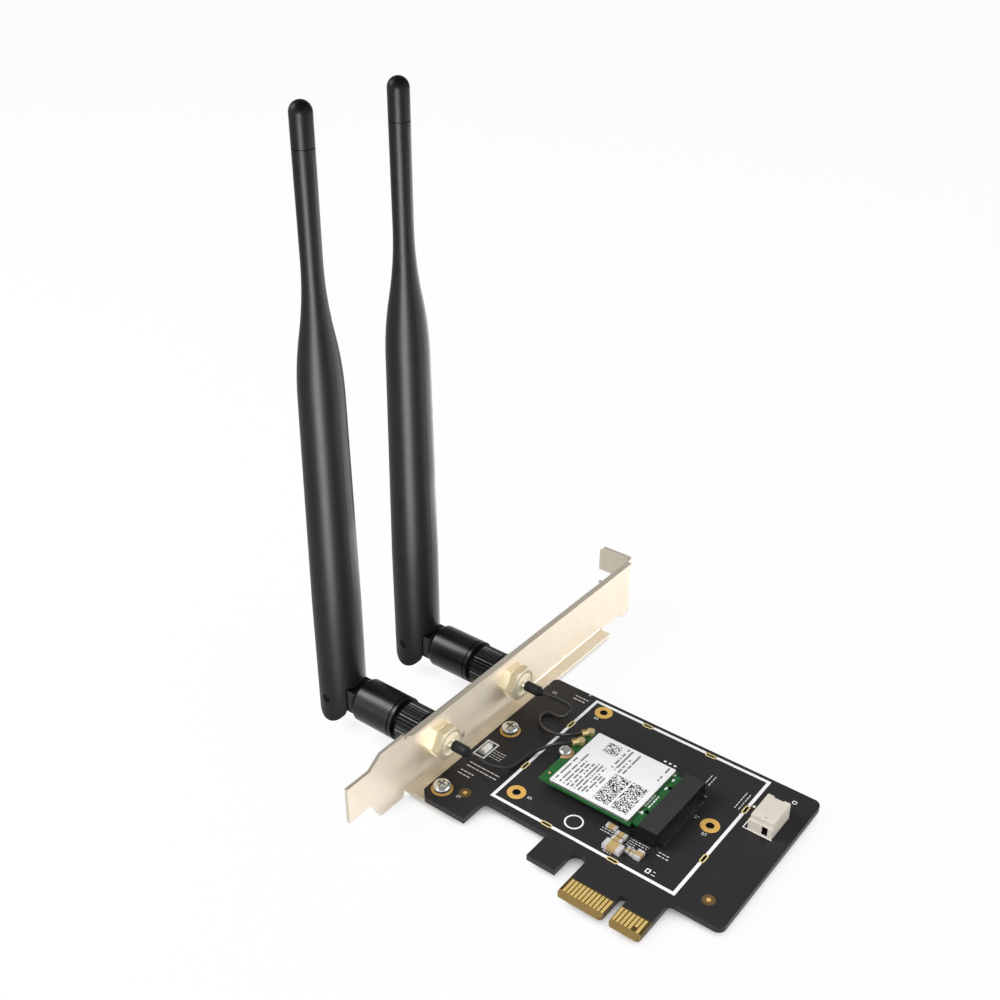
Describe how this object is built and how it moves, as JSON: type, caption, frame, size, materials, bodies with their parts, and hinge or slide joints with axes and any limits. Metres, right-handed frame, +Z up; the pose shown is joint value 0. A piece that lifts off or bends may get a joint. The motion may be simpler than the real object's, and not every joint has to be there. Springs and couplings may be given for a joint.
{
  "type": "wireless network card",
  "caption": "Plug-in wireless network card for a computer's expansion slot: edge-contact board, steel slot bracket, radio module on a socket and tilting rod antennas on screw-on jacks.",
  "frame": {"origin": "middle of the key notch on the finger edge of the board, at the level of its component side", "axes": "+X runs along the board away from the slot bracket, +Y from the finger edge to the card's top edge, +Z off the component side; at rest the board lies flat and the antennas stand up along +Z"},
  "size_m": [0.1212, 0.12, 0.1597],
  "materials": {
    "board_black": "satin solder mask over glass-fibre board",
    "gold": "thin bright gold plating",
    "bracket_nickel": "bright warm nickel plating on sheet steel",
    "bright_steel": "polished plated steel",
    "plated_brass": "smooth pale gold plating on turned brass",
    "tin": "dull tin plating",
    "white_insulator": "waxy white polymer",
    "sleeve_black": "matt shrink sleeve",
    "cable_jacket": "smooth dark grey jacket",
    "module_green": "satin green solder mask",
    "label_paper": "matt white coated paper",
    "socket_black": "moulded, faintly grained",
    "header_ivory": "moulded, satin",
    "chip_tan": "fired ceramic",
    "lamp_clear": "clear cast resin over white",
    "nut_black": "moulded with fine ridges",
    "antenna_black": "satin moulded plastic"
  },
  "bodies": {
    "card": {"bracket": "bracket_nickel", "bracket_screws": "bright_steel", "cable_front": "cable_jacket", "cable_rear": "cable_jacket", "cable_sleeve_front": "sleeve_black", "cable_sleeve_rear": "sleeve_black", "chip_bodies": "chip_tan", "chip_terminals": "tin", "circuit_board": "board_black", "coax_plug_front": "tin", "coax_plug_rear": "tin", "contacts_bottom": "gold", "contacts_top": "gold", "ferrule_front": "tin", "ferrule_rear": "tin", "header_housing": "header_ivory", "header_pins": "tin", "indicator_led": "lamp_clear", "jack_contact_front": "gold", "jack_contact_rear": "gold", "jack_front": "plated_brass", "jack_insulator_front": "white_insulator", "jack_insulator_rear": "white_insulator", "jack_nut_front": "plated_brass", "jack_nut_rear": "plated_brass", "jack_rear": "plated_brass", "lock_nut_front": "plated_brass", "lock_nut_rear": "plated_brass", "module_board": "module_green", "module_contacts": "gold", "module_label": "label_paper", "module_post": "tin", "module_receptacles": "tin", "module_screw": "bright_steel", "module_shield": "tin", "ring_pads": "gold", "slot_rims": "gold", "socket_contacts": "tin", "socket_hold_downs": "tin", "socket_housing": "socket_black"},
    "nut_front": {"coupling_nut_front": "nut_black"},
    "base_front": {"hinge_base_front": "antenna_black", "plug_core_front": "plated_brass", "plug_insulator_front": "white_insulator", "plug_contact_front": "gold"},
    "antenna_front": {"antenna_shell_front": "antenna_black", "antenna_tip_front": "antenna_black", "hinge_pin_front": "bright_steel", "radiator_front": "plated_brass"},
    "nut_rear": {"coupling_nut_rear": "nut_black"},
    "base_rear": {"hinge_base_rear": "antenna_black", "plug_core_rear": "plated_brass", "plug_insulator_rear": "white_insulator", "plug_contact_rear": "gold"},
    "antenna_rear": {"antenna_shell_rear": "antenna_black", "antenna_tip_rear": "antenna_black", "hinge_pin_rear": "bright_steel", "radiator_rear": "plated_brass"}
  },
  "joints": [
    {"name": "nut_front_spin", "type": "hinge", "parent": "card", "child": "nut_front", "pos_m": [-0.0673, 0.0175, 0.0069], "axis": [1, 0, 0], "continuous": true},
    {"name": "base_front_swivel", "type": "hinge", "parent": "card", "child": "base_front", "pos_m": [-0.0793, 0.0175, 0.0069], "axis": [1, 0, 0], "range_deg": [-4, 180]},
    {"name": "antenna_front_tilt", "type": "hinge", "parent": "base_front", "child": "antenna_front", "pos_m": [-0.0936, 0.0175, 0.0069], "axis": [0, -1, 0], "range_deg": [0, 90]},
    {"name": "nut_rear_spin", "type": "hinge", "parent": "card", "child": "nut_rear", "pos_m": [-0.0673, 0.0472, 0.0069], "axis": [1, 0, 0], "continuous": true},
    {"name": "base_rear_swivel", "type": "hinge", "parent": "card", "child": "base_rear", "pos_m": [-0.0793, 0.0472, 0.0069], "axis": [-1, 0, 0], "range_deg": [-4, 180]},
    {"name": "antenna_rear_tilt", "type": "hinge", "parent": "base_rear", "child": "antenna_rear", "pos_m": [-0.0936, 0.0472, 0.0069], "axis": [0, -1, 0], "range_deg": [0, 90]}
  ]
}
